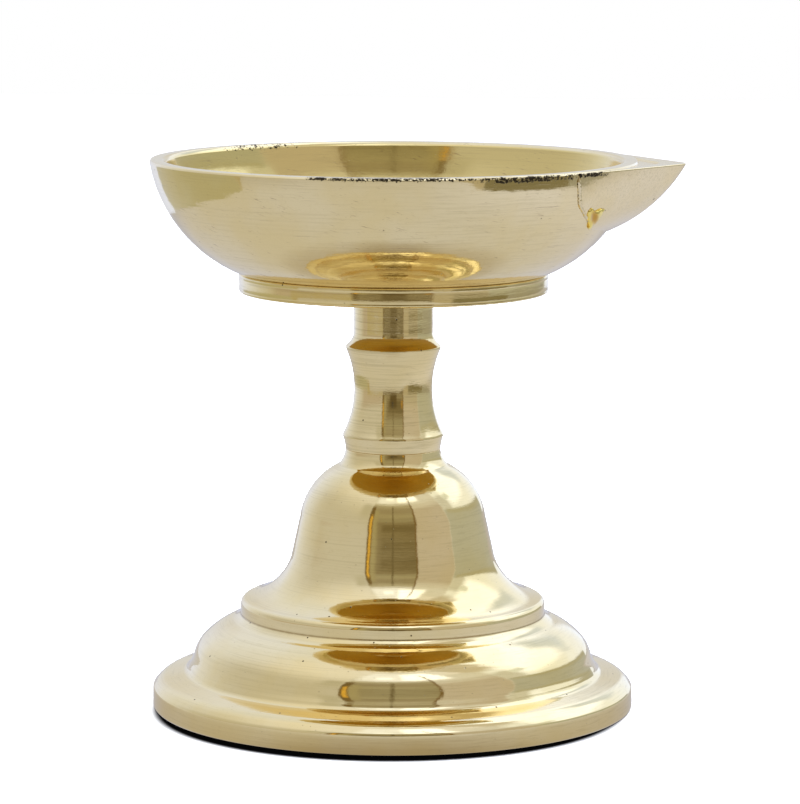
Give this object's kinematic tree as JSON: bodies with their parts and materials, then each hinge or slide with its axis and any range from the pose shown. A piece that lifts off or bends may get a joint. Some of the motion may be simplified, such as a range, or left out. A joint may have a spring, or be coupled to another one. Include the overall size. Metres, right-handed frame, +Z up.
{
  "type": "diya oil lamp",
  "caption": "Open round oil bowl with a pointed wick spout, on a disc foot, screwed to a turned baluster stem over a stepped, bell-shaped hollow base.",
  "frame": {"origin": "on the lamp's axis, in the plane of the base's rest face", "axes": "+Z up along the lamp's axis, +X from the axis towards the spout's tip, +Y to the right-handed side"},
  "size_m": [0.1102, 0.1004, 0.114],
  "materials": {
    "base_brass": "polished, fine lathe lines and a few casting pits",
    "stem_brass": "polished, fine lathe lines",
    "plated_steel": "satin zinc plating",
    "foot_brass": "polished, fine lathe lines",
    "bowl_brass": "polished outside with hairline scratches, duller inside",
    "spout_brass": "hand-filed, softly polished",
    "braze": "bright, lumpy as set"
  },
  "bodies": {
    "pedestal": {"bell_base": "base_brass", "stem": "stem_brass", "tie_rod": "plated_steel", "clamp_washer": "plated_steel", "clamp_nut": "plated_steel"},
    "foot": {"bowl_foot": "foot_brass"},
    "bowl": {"oil_bowl": "bowl_brass", "wick_spout": "spout_brass", "spout_braze": "braze"}
  },
  "joints": [
    {"name": "bowl_lift", "type": "slide", "parent": "pedestal", "child": "foot", "axis": [0, 0, 1], "range_m": [0, 0.005]},
    {"name": "bowl_unscrew", "type": "hinge", "parent": "foot", "child": "bowl", "pos_m": [0, 0, 0.0906], "axis": [0, 0, 1], "range_deg": [0, 1440]}
  ],
  "couplings": [
    {"joint": "bowl_lift", "follows": "bowl_unscrew", "m_per_rad": 0.00019894}
  ]
}
